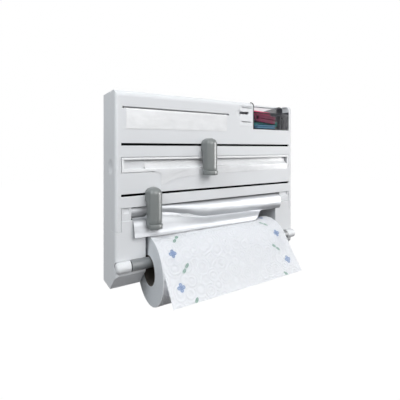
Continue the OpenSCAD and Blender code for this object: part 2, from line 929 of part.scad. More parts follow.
module film_core() {
    color("#b59a76")
        tube_x(
            sheet_core_r + sheet_core_t, sheet_core_r,
            [film_x0, film_x0 + sheet_roll_len], film_y, film_z
        );
}

module film_roll() {
    color("#eceff2")
        tube_x(film_r, sheet_core_r + sheet_core_t, [film_x0, film_x0 + sheet_roll_len], film_y, film_z);
}

module foil_core() {
    color("#b59a76")
        tube_x(
            sheet_core_r + sheet_core_t, sheet_core_r,
            [foil_x0, foil_x0 + sheet_roll_len], foil_y, foil_z
        );
}

module foil_roll() {
    color("#c4c8cc")
        tube_x(foil_r, sheet_core_r + sheet_core_t, [foil_x0, foil_x0 + sheet_roll_len], foil_y, foil_z);
}

// An end cap of the spindle, with the rod's socket and the peg that plugs into the cheek
module end_cap() {
    round_end = [for (a = [0 : 15 : 90])
        [spindle_r - cap_round * (1 - cos(a)), cap_len - cap_round * (1 - sin(a))]];
    outline = concat([[0, 0], [spindle_r, 0]], round_end, [[0, cap_len]]);
    color("#f1f2f3") difference() {
        union() {
            translate([cap_in, spindle_y, spindle_z]) rotate([0, 90, 0]) rotate_extrude() polygon(outline);
            bar_y(
                peg_r, peg_x,
                [spindle_y + spindle_r / 2, spindle_y + groove_r + peg_reach - 0.5],
                spindle_z
            );
        }
        bar_x(rod_r + fit, [cap_in - 1, rod_end], spindle_y, spindle_z);
    }
}

module right_cap() {
    end_cap();
}

module left_cap() {
    mirror([1, 0, 0]) end_cap();
}

module spindle_rod() {
    color("#a9acae") bar_x(rod_r, [-rod_end, rod_end], spindle_y, spindle_z);
}

module spindle_tube() {
    color("#85888a") tube_x(spindle_r, spindle_r - tube_t, [-tube_end, tube_end], spindle_y, spindle_z);
}

module tube_bushes() {
    color("#5c5f61") both_sides()
        tube_x(spindle_r - tube_t, rod_r + fit, [tube_end - bush_len, tube_end], spindle_y, spindle_z);
}

module roll_core() {
    color("#c2ad8e")
        tube_x(roll_core_r + roll_core_t, roll_core_r, [roll_x0, roll_x0 + roll_len], roll_y, roll_z);
}

module paper_roll() {
    color("#f3f4f6")
        tube_x(roll_r, roll_core_r + roll_core_t, [roll_x0, roll_x0 + roll_len], roll_y, roll_z);
}

// The paper's free end: wrapped on the roll at first, then straight off it with a slight flare
module paper_sheet() {
    wrapped = [for (a = [paper_leaves_at + paper_wrap : -4 : paper_leaves_at])
        [roll_y - paper_r * cos(a), roll_z + paper_r * sin(a)]];
    off = [-sin(paper_leaves_at), -cos(paper_leaves_at)];
    flare = [-cos(paper_leaves_at), sin(paper_leaves_at)];
    free = [for (s = [0.25 : 0.25 : 1])
        wrapped[len(wrapped) - 1] + s * paper_hang * off + 4 * s * s * flare];
    color("#f7f8f9") sheet_along(concat(wrapped, free), -paper_t, [roll_x0 + 0.5, roll_x0 + roll_len - 0.5]);
}

rear_housing();
lower_front();
assembly_screws();
hinge_pins();
film_trough();
foil_trough();
foil_sheet();
front_cover();
window_frame();
upper_rail();
lower_rail();
bag_pocket();
bag_pack();
hanging_bag();
tie_plate();
film_sheet();
upper_knob();
upper_shoe();
upper_blade();
upper_screw();
lower_knob();
lower_shoe();
lower_blade();
lower_screw();
clip_tray();
red_clip();
plum_clip();
teal_clip();
blue_clip();
black_clip();
wire_tie();
film_core();
film_roll();
foil_core();
foil_roll();
left_cap();
right_cap();
spindle_rod();
spindle_tube();
tube_bushes();
roll_core();
paper_roll();
paper_sheet();
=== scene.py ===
"""Looks of a wall-mounted kitchen roll holder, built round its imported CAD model.

Metres; +X right, +Y into the wall, +Z up; the origin is the middle of the wall screws.
"""

from math import cos, exp, pi, radians, sin, sqrt

import bmesh
import bpy
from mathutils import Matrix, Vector, noise
from mathutils.bvhtree import BVHTree


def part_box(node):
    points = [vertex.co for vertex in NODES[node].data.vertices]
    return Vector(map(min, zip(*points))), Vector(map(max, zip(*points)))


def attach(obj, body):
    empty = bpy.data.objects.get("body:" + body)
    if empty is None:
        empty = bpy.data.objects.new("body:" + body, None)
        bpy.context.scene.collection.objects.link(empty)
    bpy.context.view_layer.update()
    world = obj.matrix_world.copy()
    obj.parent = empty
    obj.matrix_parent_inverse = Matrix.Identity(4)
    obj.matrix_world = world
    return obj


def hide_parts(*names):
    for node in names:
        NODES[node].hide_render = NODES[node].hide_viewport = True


bl_info = {
    "name": "Kitchen roll holder",
    "version": (1, 0, 0),
    "blender": (4, 5, 0),
    "location": "View3D > Sidebar > Roll holder",
    "description": "Builds the looks of a wall-mounted kitchen roll holder",
    "category": "Object",
}

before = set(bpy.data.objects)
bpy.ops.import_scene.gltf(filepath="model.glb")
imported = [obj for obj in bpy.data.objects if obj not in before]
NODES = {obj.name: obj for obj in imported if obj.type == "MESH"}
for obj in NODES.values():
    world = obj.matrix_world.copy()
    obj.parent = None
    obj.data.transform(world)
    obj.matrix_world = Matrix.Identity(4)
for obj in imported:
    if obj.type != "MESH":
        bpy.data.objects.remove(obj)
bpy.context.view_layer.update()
MM = 0.001
TURN = 2 * pi
SHEET_CORE = 10.5 * MM
PAPER_CORE = 22.2 * MM


def maths(operation, swapped=False):
    """A method of Socket that adds a Math node; swapped is for a reflected operator."""

    def method(self, *others):
        values = (*others, self) if swapped else (self, *others)
        return self.tree.node("ShaderNodeMath", dict(enumerate(values)), {"operation": operation})

    return method


class Socket:
    """A node's output that takes part in Python expressions."""

    def __init__(self, tree, socket):
        self.tree = tree
        self.socket = socket

    __add__ = __radd__ = maths("ADD")
    __sub__ = maths("SUBTRACT")
    __rsub__ = maths("SUBTRACT", swapped=True)
    __mul__ = __rmul__ = maths("MULTIPLY")
    __truediv__ = maths("DIVIDE")
    __pow__ = maths("POWER")
    __mod__ = maths("FLOORED_MODULO")
    __abs__ = maths("ABSOLUTE")
    least = maths("MINIMUM")
    most = maths("MAXIMUM")

    def out(self, name):
        """Another output of the same node."""
        return Socket(self.tree, self.socket.node.outputs[name])

    def below(self, limit, soft):
        """1 where this is under the limit, 0 where it is over, with a soft edge."""
        edge = {"From Min": limit - soft, "From Max": limit + soft, "To Min": 1.0, "To Max": 0.0}
        settings = {"interpolation_type": "SMOOTHSTEP"}
        return self.tree.node("ShaderNodeMapRange", {"Value": self, **edge}, settings)


class Tree:
    """A node tree, and the one way in which nodes are added to it."""

    def __init__(self, tree, material=None):
        self.tree = tree
        self.material = material

    def node(self, kind, values=None, settings=None, out=0):
        """Adds a node: its settings first, then its sockets, where a tuple of sockets joins one input."""
        made = self.tree.nodes.new(kind)
        for name, setting in (settings or {}).items():
            setattr(made, name, setting)
        for name, value in (values or {}).items():
            several = isinstance(value, tuple) and isinstance(value[0], Socket)
            for part in value if several else (value,):
                if isinstance(part, Socket):
                    self.tree.links.new(part.socket, made.inputs[name])
                else:
                    made.inputs[name].default_value = part
        return Socket(self, made.outputs[out]) if made.outputs else made

    def axes(self, place):
        """A vector's parts along X, Y and Z."""
        parts = self.node("ShaderNodeSeparateXYZ", {"Vector": place})
        return [parts.out(name) for name in "XYZ"]

    def vector(self, **parts):
        return self.node("ShaderNodeCombineXYZ", parts)

    def noise(self, place, scale, detail=3.0, roughness=0.5):
        values = {"Vector": place, "Scale": scale, "Detail": detail, "Roughness": roughness}
        return self.node("ShaderNodeTexNoise", values)

    def streaks(self, place, scale, detail, roughness=0.5):
        """Noise with a scale of its own along each axis."""
        squeezed = self.node("ShaderNodeMapping", {"Vector": place, "Scale": scale})
        return self.noise(squeezed, 1.0, detail, roughness)

    def mix(self, factor, first, second):
        """A colour between two colours."""
        return self.node("ShaderNodeMix", {0: factor, 6: first, 7: second}, {"data_type": "RGBA"}, out=2)

    def tones(self, factor, colour, dark, light):
        """A colour between two shares of one."""
        return self.mix(factor, tinted(colour, dark), tinted(colour, light))

    def bump(self, height, distance, strength):
        values = {"Height": height, "Distance": distance, "Strength": strength}
        return self.node("ShaderNodeBump", values)

    def shader(self, **values):
        """A surface's shader; names use _ for spaces."""
        named = {name.replace("_", " "): value for name, value in values.items()}
        return self.node("ShaderNodeBsdfPrincipled", named)

    def finish(self, surface):
        """Ends a material and gives it."""
        self.node("ShaderNodeOutputMaterial", {"Surface": surface})
        return self.material

    def surface(self, **values):
        """Ends a material with one shader and gives it."""
        return self.finish(self.shader(**values))


def rgba(colour):
    return (*colour[:3], 1.0)


def tinted(colour, share):
    """A colour made darker or lighter by a share."""
    return tuple(min(1.0, channel * share) for channel in colour[:3]) + (1.0,)


def new_material(name):
    """An empty node material's tree and its object coordinates."""
    material = bpy.data.materials.new(name)
    material.use_nodes = True
    material.node_tree.nodes.clear()
    tree = Tree(material.node_tree, material)
    return tree, tree.node("ShaderNodeTexCoord").out("Object")


def moulded_plastic(name, colour, roughness, grain, drift=0.03, gloss=0.5):
    """Moulded plastic: a slow drift of tone, a fine grain and a polish that varies."""
    tree, place = new_material(name)
    slow = tree.noise(place, 9.0, 2.0)
    fine = tree.noise(place, 1500.0, 2.0, 0.6)
    squeezed = tree.node("ShaderNodeMapping", {"Vector": place, "Scale": (40.0, 40.0, 9.0)})
    scuffs = tree.noise(squeezed, 6.0, 4.0, 0.65)
    return tree.surface(
        Base_Color=tree.tones(slow, colour, 1 - drift, 1 + drift),
        Roughness=roughness - 0.05 + scuffs * 0.1,
        Specular_IOR_Level=gloss,
        Normal=tree.bump(fine, grain * MM, 0.35),
    )


def brushed_steel(name, colour):
    """Bright steel with fine lines along X."""
    tree, place = new_material(name)
    lines = tree.streaks(place, (30.0, 900.0, 900.0), 2.0)
    return tree.surface(
        Base_Color=tree.tones(lines, colour, 0.85, 1.1),
        Metallic=1.0,
        Roughness=0.22 + lines * 0.2,
        Normal=tree.bump(lines, 0.02 * MM, 0.3),
    )


def rolled_foil(name, colour):
    """Aluminium foil: faint rolling lines and soft creases, whose tone is painted shade in their hollows and
    painted light on their ridges.
    """
    tree, place = new_material(name)
    lines = tree.streaks(place, (900.0, 25.0, 25.0), 2.0)
    creases_and_painted_shade = tree.streaks(place, (35.0, 90.0, 90.0), 5.0, 0.62)
    return tree.surface(
        # Painted shade and light: darker where the creases sink, lighter where they rise.
        Base_Color=tree.tones(creases_and_painted_shade, colour, 0.82, 1.12),
        Metallic=0.6,
        Roughness=0.4 + lines * 0.06 + creases_and_painted_shade * 0.1,
        Normal=tree.bump(creases_and_painted_shade + lines * 0.05, 0.9 * MM, 0.3),
    )


def clear_film(name, colour, thin, thick, streak):
    """Stretchy film: clear between its streaks, milky where it lies in folds."""
    tree, place = new_material(name)
    streaks = tree.streaks(place, streak, 4.0, 0.6)
    fold = tree.noise(place, 60.0)
    return tree.surface(
        Base_Color=tree.mix(fold, tinted(colour, 0.97), rgba(colour)),
        Roughness=0.16 + fold * 0.16,
        Alpha=thin + (streaks * 0.7 + fold * 0.3) * (thick - thin),
        Normal=tree.bump(streaks, 0.5 * MM, 0.35),
    )


def smoked_plastic(name, colour, clear, rim, floor, end):
    """Dark see-through plastic, denser at its rim, floor and right end, with a trace of flow lines."""
    tree, place = new_material(name)
    flow = tree.streaks(place, (12.0, 12.0, 50.0), 3.0)
    x, _, height = tree.axes(place)
    dense = abs(height - rim).below(1.7 * MM, 0.4 * MM).most(height.below(floor, 0.4 * MM))
    stacked = 1 - x.below(end, 4 * MM)
    return tree.surface(
        Base_Color=tree.tones(flow, colour, 0.9, 1.15),
        Roughness=0.1 + flow * 0.08,
        Specular_IOR_Level=0.05,
        Alpha=1 - clear + flow * 0.08 + dense * 0.4 + stacked * 0.3,
    )


def pressed_card(name, colour, twist):
    """Grey-brown card, wound in a spiral strip."""
    tree, place = new_material(name)
    fibre = tree.streaks(place, (120.0, 500.0, 500.0), 4.0, 0.7)
    x, _, z = tree.axes(place)
    strip = (x + z * 0.6) % twist
    seam = abs(strip - twist / 2).below(0.6 * MM, 0.3 * MM)
    tone = tree.tones(fibre, colour, 0.82, 1.12)
    return tree.surface(
        Base_Color=tree.mix(seam, tone, tinted(colour, 0.6)),
        Roughness=0.85 + fibre * 0.1,
        Normal=tree.bump(fibre - seam, 0.15 * MM, 0.5),
    )


def blossom(first, second, petal_at, petal_r, soft):
    """Four round petals about a dot."""
    dot = petal_r * 0.45
    reach = abs(first).most(abs(second))
    across = abs(first).least(abs(second))
    petal = ((reach - petal_at) ** 2.0 + across ** 2.0) ** 0.5
    middle = (first ** 2.0 + second ** 2.0) ** 0.5
    ring = petal.below(petal_r, soft) - petal.below(dot, soft) * 0.6
    return ring.most(middle.below(dot, soft))


def leaf_pair(first, second, length, width, soft):
    """Two slim leaves that point away from each other along a slant."""
    diagonal = 0.7071
    slant = (first + second) * diagonal
    across = (first - second) * diagonal
    oval = (((abs(slant) - length) / length) ** 2.0 + (across / width) ** 2.0) ** 0.5
    vein = abs(across).below(width * 0.14, soft)
    return oval.below(0.92, 0.12) * (1 - vein * 0.7)


def printed_paper(name, colour, blue, green, width, through=0.0):
    """Soft paper with a border of blossoms and leaves along both edges, placed by its UV in metres.

    A share of the light may pass through it, and then its pressed grooves get painted shade, a little
    darker.
    """
    tree, place = new_material(name)
    across, along, _ = tree.axes(tree.node("ShaderNodeUVMap", settings={"uv_map": "sheet"}))
    side = across.least(width - across)
    soft = 0.3 * MM
    pitch = 46 * MM
    half = pitch / 2
    blossoms = blossom(side - 19 * MM, along % pitch - half, 3.6 * MM, 2.5 * MM, soft)
    leaves = leaf_pair(side - 33 * MM, (along + half) % pitch - half, 4.4 * MM, 2.3 * MM, soft)
    fibre = tree.noise(place, 900.0, 4.0, 0.7)
    cloud = tree.noise(place, 45.0)
    patchy = 0.7 + fibre * 0.45
    white = tree.tones(cloud, colour, 0.975, 1.02)
    if through:
        ridge = tree.node("ShaderNodeAttribute", settings={"attribute_name": "relief"}).out("Fac")
        # Painted shade: the pressed grooves take a slightly darker copy of the paper's colour.
        white = tree.mix(ridge, tinted(colour, 0.945), white)
    with_blue = tree.mix(blossoms * patchy, white, rgba(blue))
    paper = tree.shader(
        Base_Color=tree.mix(leaves * patchy, with_blue, rgba(green)),
        Roughness=0.9 + fibre * 0.08,
        Normal=tree.bump(fibre + cloud * 0.4, 0.12 * MM, 0.5),
    )
    if through:
        passed = tree.node("ShaderNodeBsdfTranslucent", {"Color": rgba(colour)})
        paper = tree.node("ShaderNodeMixShader", {0: through, 1: paper, 2: passed})
    return tree.finish(paper)


def roll_edge(name, colour, axis_y, axis_z, layer):
    """The cut ends of a wound roll: thin rings of light and shade about its axis."""
    tree, place = new_material(name)
    _, y, z = tree.axes(place)
    away = ((y - axis_y) ** 2.0 + (z - axis_z) ** 2.0) ** 0.5
    rings = abs(away % layer - layer / 2) / layer * 2
    fibre = tree.noise(place, 700.0, 3.0, 0.7)
    return tree.surface(
        Base_Color=tree.tones(rings * 0.6 + fibre * 0.4, colour, 0.9, 1.03),
        Roughness=0.88 + fibre * 0.1,
        Normal=tree.bump(rings + fibre * 0.6, 0.2 * MM, 0.6),
    )


def clamped(value, low=-1.0, high=1.0):
    return max(low, min(high, value))


def eased(share):
    """A share from 0 to 1 with a soft start and end."""
    share = clamped(share, 0.0, 1.0)
    return share * share * (3 - 2 * share)


def smooth(mesh, angle):
    """Smooth shading that keeps the edges sharper than an angle."""
    mesh.shade_smooth()
    mesh.set_sharp_from_angle(angle=radians(angle))


def mesh_from(name, points, edges, faces):
    mesh = bpy.data.meshes.new(name)
    mesh.from_pydata(points, edges, faces)
    return mesh


def add_object(name, mesh, *materials):
    piece = bpy.data.objects.new(name, mesh)
    bpy.context.scene.collection.objects.link(piece)
    mesh.materials.clear()
    for material in materials:
        mesh.materials.append(material)
    return piece


def settle(piece):
    """Turns a piece's modifiers into plain mesh."""
    bpy.context.view_layer.update()
    graph = bpy.context.evaluated_depsgraph_get()
    made = bpy.data.meshes.new_from_object(
        piece.evaluated_get(graph), preserve_all_data_layers=True, depsgraph=graph
    )
    piece.modifiers.clear()
    piece.data = made
    made.name = piece.name
    return piece


def place_piece(piece, body, node):
    """Lets a piece ride on a body and stand for a CAD node, which it hides."""
    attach(piece, body)
    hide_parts(node)


def dress(material, *names):
    """Gives CAD nodes that stay in view a finish."""
    for name in names:
        slots = NODES[name].data.materials
        slots.clear()
        slots.append(material)


def softened(node, name, width, look, body, segments=2):
    """Puts a copy of a CAD node with its edges rounded in the node's place."""
    mesh = NODES[node].data.copy()
    form = bmesh.new()
    form.from_mesh(mesh)
    bmesh.ops.remove_doubles(form, verts=form.verts, dist=0.002 * MM)
    form.to_mesh(mesh)
    shell = BVHTree.FromBMesh(form)
    form.free()
    piece = add_object(name, mesh, look)
    bevel = piece.modifiers.new("Rounded edges", "BEVEL")
    bevel.width = width
    bevel.segments = segments
    bevel.limit_method = "ANGLE"
    bevel.angle_limit = radians(34)
    bevel.use_clamp_overlap = False
    bevel.loop_slide = False
    settle(piece)
    for vert in piece.data.vertices:
        near = shell.find_nearest(vert.co)[0]
        if (vert.co - near).length > width:
            vert.co = near
    smooth(piece.data, 40.0)
    level = piece.modifiers.new("Even shading", "WEIGHTED_NORMAL")
    level.keep_sharp = True
    level.weight = 60
    place_piece(settle(piece), body, node)


def curve_through(points, count):
    """Evenly spaced points on a smooth curve through some points, and its length."""
    parts = 16
    fine = []
    for i in range(len(points) - 1):
        before = points[max(i - 1, 0)]
        start, end = points[i], points[i + 1]
        after = points[min(i + 2, len(points) - 1)]
        for k in range(parts):
            t = k / parts
            near = 2 * start + (end - before) * t
            bend = (2 * before - 5 * start + 4 * end - after) * t * t
            turn = (3 * start - before - 3 * end + after) * t ** 3
            fine.append((near + bend + turn) / 2)
    fine.append(points[-1])
    lengths = [0.0]
    for a, b in zip(fine, fine[1:]):
        lengths.append(lengths[-1] + (b - a).length)
    even, k = [], 0
    for i in range(count + 1):
        wanted = lengths[-1] * i / count
        while k < len(fine) - 2 and lengths[k + 1] < wanted:
            k += 1
        span = max(lengths[k + 1] - lengths[k], 1e-9)
        even.append(fine[k].lerp(fine[k + 1], (wanted - lengths[k]) / span))
    return even, lengths[-1]


def folded(upper, lower, count):
    """A curve of two runs that meet in a fold at the upper one's end, with half of its points in each."""
    first, first_length = curve_through(yz(*upper), count // 2)
    second, second_length = curve_through(yz(upper[-1], *lower), count - count // 2)
    return first[:-1] + second, first_length + second_length


def on_path(path, steps):
    """A point on a path, so many of its steps along, which may be a fraction."""
    i = min(int(steps), len(path) - 2)
    return path[i].lerp(path[i + 1], steps - i)


def yz(*pairs):
    """Points in the Y-Z plane, from millimetres."""
    return [Vector((0.0, y * MM, z * MM)) for y, z in pairs]


def thin_sheet(name, node, columns, rows, place, thickness, look, body):
    """Puts a sheet in a CAD node's place.

    place(s, t) gives a point of it, that point's flat coordinates in metres and maybe its relief.
    """
    spots = [place(i / columns, j / rows) for j in range(rows + 1) for i in range(columns + 1)]
    wide = columns + 1
    starts = [j * wide + i for j in range(rows) for i in range(columns)]
    faces = [(k, k + 1, k + wide + 1, k + wide) for k in starts]
    mesh = mesh_from(name, [spot[0] for spot in spots], [], faces)
    layer = mesh.uv_layers.new(name="sheet")
    for loop in mesh.loops:
        layer.data[loop.index].uv = spots[loop.vertex_index][1]
    if len(spots[0]) > 2:
        relief = mesh.attributes.new("relief", "FLOAT", "POINT")
        relief.data.foreach_set("value", [spot[2] for spot in spots])
    piece = add_object(name, mesh, look)
    solid = piece.modifiers.new("Thickness", "SOLIDIFY")
    solid.thickness = thickness
    solid.offset = 0.0
    settle(piece)
    smooth(piece.data, 60.0)
    place_piece(piece, body, node)
    return piece


def roll_size(node):
    """A roll's axis in Y and Z, its radius and its ends in X, from its CAD node."""
    low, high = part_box(node)
    axis = ((low.y + high.y) / 2, (low.z + high.z) / 2)
    return axis, (high.z - low.z) / 2, (low.x, high.x)


def wound_roll(name, node, inner, grid, relief, looks, body):
    """Puts a hollow roll along X in a CAD node's place, with a wound spiral at its ends.

    relief(x, angle) moves its outside, the grid counts the faces along and around that, and the looks
    are those of its outside and its ends.
    """
    axis, outer, (x0, x1) = roll_size(node)
    lengthwise, around = grid
    soft = min(1.2 * MM, (outer - inner) * 0.15)
    corner = soft * 0.3
    layers, proud = 14, 0.35 * MM
    rings = layers * 2 - 1
    radial = [inner + (outer - soft - inner) * k / rings for k in range(rings + 1)]
    span = x1 - x0 - 2 * soft
    outside, left_end, right_end = 0, 1, -1
    profile = [(x0, r, left_end) for r in radial]
    profile.append((x0 + corner, outer - corner, outside))
    profile += [(x0 + soft + span * k / lengthwise, outer, outside) for k in range(lengthwise + 1)]
    profile.append((x1 - corner, outer - corner, outside))
    profile += [(x1, r, right_end) for r in reversed(radial)]
    points = []
    for a in range(around):
        angle = TURN * a / around
        for x, r, part in profile:
            if part != outside:
                share = (r - inner) / (outer - inner)
                wind = (share * layers + a / around) % 1.0
                x += part * proud * wind * min(1.0, share * 6) * (1 - share ** 6)
            elif r == outer:
                r += relief(x, angle)
            points.append((x, axis[0] - r * cos(angle), axis[1] + r * sin(angle)))
    count = len(profile)
    faces, flats, kinds = [], [], []
    for a in range(around):
        b = (a + 1) % around
        for k in range(count):
            n = (k + 1) % count
            faces.append((a * count + k, a * count + n, b * count + n, b * count + k))
            corners = ((k, a), (n, a), (n, a + 1), (k, a + 1))
            flats.append([(profile[j][0] - x0, outer * TURN * c / around) for j, c in corners])
            kinds.append(1 if profile[k][2] and profile[n][2] else 0)
    mesh = mesh_from(name, points, [], faces)
    piece = add_object(name, mesh, *looks)
    mesh.polygons.foreach_set("material_index", kinds)
    layer = mesh.uv_layers.new(name="sheet")
    for face, flat in zip(mesh.polygons, flats):
        for loop, uv in zip(face.loop_indices, flat):
            layer.data[loop].uv = uv
    form = bmesh.new()
    form.from_mesh(mesh)
    bmesh.ops.recalc_face_normals(form, faces=form.faces)
    form.to_mesh(mesh)
    form.free()
    smooth(mesh, 50.0)
    place_piece(piece, body, node)


def embossed(u, v, cell, ring):
    """Nested rings about scattered points, from 0 in a groove to 1 on a ridge."""
    away = noise.voronoi(Vector((u / cell, v / cell, 0.5)))[0][0] * cell
    return 0.5 + 0.5 * cos(TURN * away / ring)


def geometry_tree(name, sizes):
    """A Geometry Nodes tree with named inputs; gives the tree and its inputs by name."""
    group = bpy.data.node_groups.new(name, "GeometryNodeTree")
    face = group.interface
    face.new_socket("Geometry", in_out="INPUT", socket_type="NodeSocketGeometry")
    for label, value in sizes.items():
        kind = "NodeSocketInt" if isinstance(value, int) else "NodeSocketFloat"
        face.new_socket(label, in_out="INPUT", socket_type=kind).default_value = value
    face.new_socket("Geometry", in_out="OUTPUT", socket_type="NodeSocketGeometry")
    tree = Tree(group)
    return tree, tree.node("NodeGroupInput")


def end_tree(tree, geometry, material):
    """Realizes the instances, sets the material and ends the tree."""
    real = tree.node("GeometryNodeRealizeInstances", {"Geometry": geometry})
    done = tree.node("GeometryNodeSetMaterial", {"Geometry": real, "Material": material})
    tree.node("NodeGroupOutput", {"Geometry": done})
    return tree


def grown(name, points, edges, tree, sizes):
    """A piece that a tree makes of points and edges with these sizes, as a plain mesh."""
    piece = add_object(name, mesh_from(name, points, edges, []))
    modifier = piece.modifiers.new(tree.tree.name, "NODES")
    modifier.node_group = tree.tree
    for item in tree.tree.interface.items_tree:
        if item.in_out == "INPUT" and item.name in sizes:
            modifier[item.identifier] = sizes[item.name]
    return settle(piece)


def screw_tree(material, sizes):
    """A cross-head screw along +Y on every point."""
    tree, given = geometry_tree("Cross-head screws", sizes)
    radius, height, length = given.out("Head radius"), given.out("Head height"), given.out("Shank length")

    def rod(vertices, wide, tall):
        values = {"Vertices": vertices, "Radius": wide, "Depth": tall}
        return tree.node("GeometryNodeMeshCylinder", values)

    def raised(form, up):
        return tree.node("GeometryNodeTransform", {"Geometry": form, "Translation": tree.vector(Z=up)})

    head = raised(rod(32, radius, height), height * 0.5)
    bars = []
    for long_side, short_side in (("X", "Y"), ("Y", "X")):
        size = tree.vector(**{long_side: radius * 1.15, short_side: radius * 0.28, "Z": height})
        bars.append(raised(tree.node("GeometryNodeMeshCube", {"Size": size}), height))
    solids = {"Mesh 1": head, "Mesh 2": tuple(bars)}
    cut = tree.node("GeometryNodeMeshBoolean", solids, {"operation": "DIFFERENCE"})
    shank = raised(rod(20, given.out("Shank radius"), length), length * -0.5)
    screw = tree.node("GeometryNodeJoinGeometry", {"Geometry": (cut, shank)})
    inward = (-pi / 2, 0.0, 0.0)
    values = {"Points": given.out("Geometry"), "Instance": screw, "Rotation": inward}
    return end_tree(tree, tree.node("GeometryNodeInstanceOnPoints", values), material)


def leaf_tree(material, sizes):
    """A stack of thin leaves along Y on the piece's one point."""
    tree, given = geometry_tree("Stacked bags", sizes)
    step = tree.vector(Y=given.out("Spacing"))
    line = tree.node("GeometryNodeMeshLine", {"Count": given.out("Count"), "Offset": step})
    size = tree.vector(X=given.out("Width"), Y=given.out("Spacing") * 0.72, Z=given.out("Height"))
    leaf = tree.node("GeometryNodeMeshCube", {"Size": size, "Vertices X": 16, "Vertices Z": 4})
    stray = {0: (-0.8 * MM, 0.0, -0.7 * MM), 1: (0.8 * MM, 0.0, 0.0), "Seed": 7}
    shift = tree.node("FunctionNodeRandomValue", stray, {"data_type": "FLOAT_VECTOR"})
    moved = tree.node("GeometryNodeSetPosition", {"Geometry": line, "Offset": shift})
    stack = tree.node("GeometryNodeInstanceOnPoints", {"Points": moved, "Instance": leaf})
    values = {"Points": given.out("Geometry"), "Instance": stack}
    return end_tree(tree, tree.node("GeometryNodeInstanceOnPoints", values), material)


def wire_tree(material, sizes):
    """A round wire along the piece's own edges."""
    tree, given = geometry_tree("Wire on a path", sizes)
    line = tree.node("GeometryNodeMeshToCurve", {"Mesh": given.out("Geometry")})
    values = {"Resolution": 10, "Radius": given.out("Wire radius")}
    ring = tree.node("GeometryNodeCurvePrimitiveCircle", values)
    values = {"Curve": line, "Profile Curve": ring, "Fill Caps": True}
    return end_tree(tree, tree.node("GeometryNodeCurveToMesh", values), material)


def knob_outline(half, back, front, bow, corner):
    """An outline in X and Y: nearly square behind, bowed in front, with round front corners."""
    behind = min(1.6 * MM, half * 0.5)
    ahead = min(corner, half * 0.6)
    points = []
    steps = 8
    for side, start in ((1, 0), (-1, 90)):
        for k in range(steps + 1):
            a = radians(start + 90 * k / steps)
            x = side * (half - behind) + behind * cos(a)
            points.append((x, back - behind + behind * sin(a)))
    steps = 14
    arc = (half * half + bow * bow) / (2 * bow)
    for k in range(-steps, steps + 1):
        x = half * sin(pi / 2 * k / steps)
        past = max(0.0, (abs(x) - half + ahead) / ahead)
        corner_fall = ahead * (1 - sqrt(max(0.0, 1 - past * past)))
        points.append((x, front + arc - sqrt(arc * arc - x * x) + corner_fall))
    return points


def knob_rows(sizes):
    """Rows of a cutter knob from its foot to its crown: height, half width, back and front."""
    half = sizes.knob_width / 2
    front, lip = sizes.knob_front, sizes.knob_front - sizes.lip_reach
    back, head = sizes.knob_back, sizes.knob_head
    foot = -sizes.knob_drop
    rows = []
    for above, narrower, back_in, face, face_in in (
        (0.0, 0.9, 0.9, lip, 0.9),
        (0.3, 0.25, 0.25, lip, 0.25),
        (0.9, 0.0, 0.0, lip, 0.0),
        (6.0, 0.0, 0.0, lip, 0.0),
        (6.7, 0.0, 0.0, lip, 0.25),
        (7.1, 0.15, 0.0, front, 0.5),
        (7.6, 0.45, 0.0, front, 0.9),
        (8.3, 0.1, 0.0, front, 0.2),
        (9.2, 0.0, 0.0, front, 0.0),
    ):
        rows.append((foot + above * MM, half - narrower * MM, back - back_in * MM, face + face_in * MM))
    grip, grip_tall, steps = foot + 9.2 * MM, 27.0 * MM, 6
    for k in range(1, steps + 1):
        rows.append((grip + grip_tall * k / steps, half, back, front))
    slope, slope_tall, steps = foot + 36.4 * MM, 4.2 * MM, 7
    for k in range(1, steps + 1):
        rows.append((slope + slope_tall * k / steps, half, back + (head - back) * eased(k / steps), front))
    dome = sizes.dome_height
    base = sizes.knob_rise - dome
    head_fall, front_fall, narrowest, steps = 6.5 * MM, 10.5 * MM, 0.6 * MM, 12
    for k in range(steps + 1):
        t = sin(pi / 2 * k / steps)
        fall = sqrt(max(0.0, 1 - t * t))
        wide = max(half * fall ** 0.85, narrowest)
        rows.append((base + dome * t, wide, head - head_fall * (1 - fall), front + front_fall * (1 - fall)))
    return rows


def knob_mesh(name, x, z, sizes):
    """A lofted cutter knob with the neck that passes through its slot."""
    form = bmesh.new()
    rings = []
    for height, half, back, front in knob_rows(sizes):
        bow = sizes.knob_bow * half * 2 / sizes.knob_width
        outline = knob_outline(half, back, front, bow, sizes.knob_corner)
        rings.append([form.verts.new((x + px, py, z + height)) for px, py in outline])
    for low, high in zip(rings, rings[1:]):
        for i in range(len(low)):
            j = (i + 1) % len(low)
            form.faces.new((low[i], low[j], high[j], high[i]))
    form.faces.new(list(reversed(rings[0])))
    form.faces.new(rings[-1])
    neck_wide, neck_tall = 14 * MM, 3.2 * MM
    reach = sizes.neck_end - (sizes.knob_head - 0.5 * MM)
    for vert in bmesh.ops.create_cube(form, size=1.0)["verts"]:
        vert.co.x = x + vert.co.x * neck_wide
        vert.co.y = sizes.neck_end - reach / 2 + vert.co.y * reach
        vert.co.z = z + vert.co.z * neck_tall
    bmesh.ops.recalc_face_normals(form, faces=form.faces)
    mesh = bpy.data.meshes.new(name)
    form.to_mesh(mesh)
    form.free()
    smooth(mesh, 46.0)
    return mesh


def colour_setting(name, description, default):
    return bpy.props.FloatVectorProperty(
        name=name, description=description, default=default, subtype="COLOR", min=0, max=1
    )


def length_setting(name, description, default):
    return bpy.props.FloatProperty(name=name, description=description, default=default, unit="LENGTH")


def power_setting(name, description, default):
    return bpy.props.FloatProperty(name=name, description=description, default=default, unit="POWER", min=0)


def share_setting(name, description, default):
    return bpy.props.FloatProperty(
        name=name, description=description, default=default, subtype="FACTOR", min=0, max=1
    )


